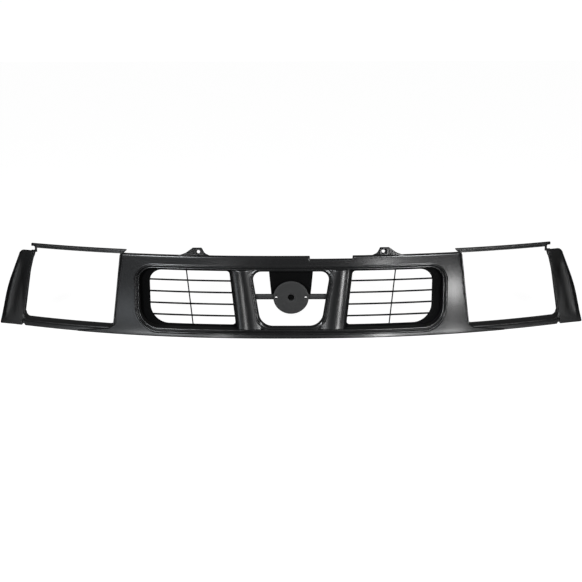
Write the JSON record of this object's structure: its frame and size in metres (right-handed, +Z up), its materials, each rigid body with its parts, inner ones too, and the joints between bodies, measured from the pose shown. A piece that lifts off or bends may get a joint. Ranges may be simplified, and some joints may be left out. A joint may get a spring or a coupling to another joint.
{
  "type": "vehicle front grille",
  "caption": "Swept vehicle front grille: painted shell, black louvre inserts, badge pad on a crossbar, frames for the headlamps and corner trays outboard of them.",
  "frame": {"origin": "bottom centre of the bounding box", "axes": "+X across the vehicle to the viewer's right, +Y back from the face, +Z up"},
  "size_m": [1.4942, 0.167, 0.223],
  "materials": {
    "shell_paint": "satin charcoal paint on plastic",
    "louvre_black": "matt black moulding",
    "frame_plastic": "dark semi-matt moulding",
    "tray_plastic": "fine grained moulding",
    "pad_plastic": "grained grey moulding",
    "screw_zinc": "zinc plated"
  },
  "bodies": {
    "root": {"grille_shell": "shell_paint", "louvre_insert_right": "louvre_black", "louvre_insert_left": "louvre_black", "badge_pad": "pad_plastic", "badge_bracket": "louvre_black", "lamp_frame_right": "frame_plastic", "lamp_frame_left": "frame_plastic", "corner_tray_right": "tray_plastic", "corner_tray_left": "tray_plastic", "louvre_screw_right_1": "screw_zinc", "louvre_screw_right_2": "screw_zinc", "louvre_screw_right_3": "screw_zinc", "louvre_screw_right_4": "screw_zinc", "louvre_screw_right_5": "screw_zinc", "lamp_frame_screw_right_1": "screw_zinc", "lamp_frame_screw_right_2": "screw_zinc", "lamp_frame_screw_right_3": "screw_zinc", "tray_screw_right_1": "screw_zinc", "tray_screw_right_2": "screw_zinc", "tray_screw_right_3": "screw_zinc", "crossbar_screw_right": "screw_zinc", "bracket_screw_right": "screw_zinc", "pad_screw_right": "screw_zinc", "louvre_screw_left_1": "screw_zinc", "louvre_screw_left_2": "screw_zinc", "louvre_screw_left_3": "screw_zinc", "louvre_screw_left_4": "screw_zinc", "louvre_screw_left_5": "screw_zinc", "lamp_frame_screw_left_1": "screw_zinc", "lamp_frame_screw_left_2": "screw_zinc", "lamp_frame_screw_left_3": "screw_zinc", "tray_screw_left_1": "screw_zinc", "tray_screw_left_2": "screw_zinc", "tray_screw_left_3": "screw_zinc", "crossbar_screw_left": "screw_zinc", "bracket_screw_left": "screw_zinc", "pad_screw_left": "screw_zinc"}
  },
  "joints": []
}
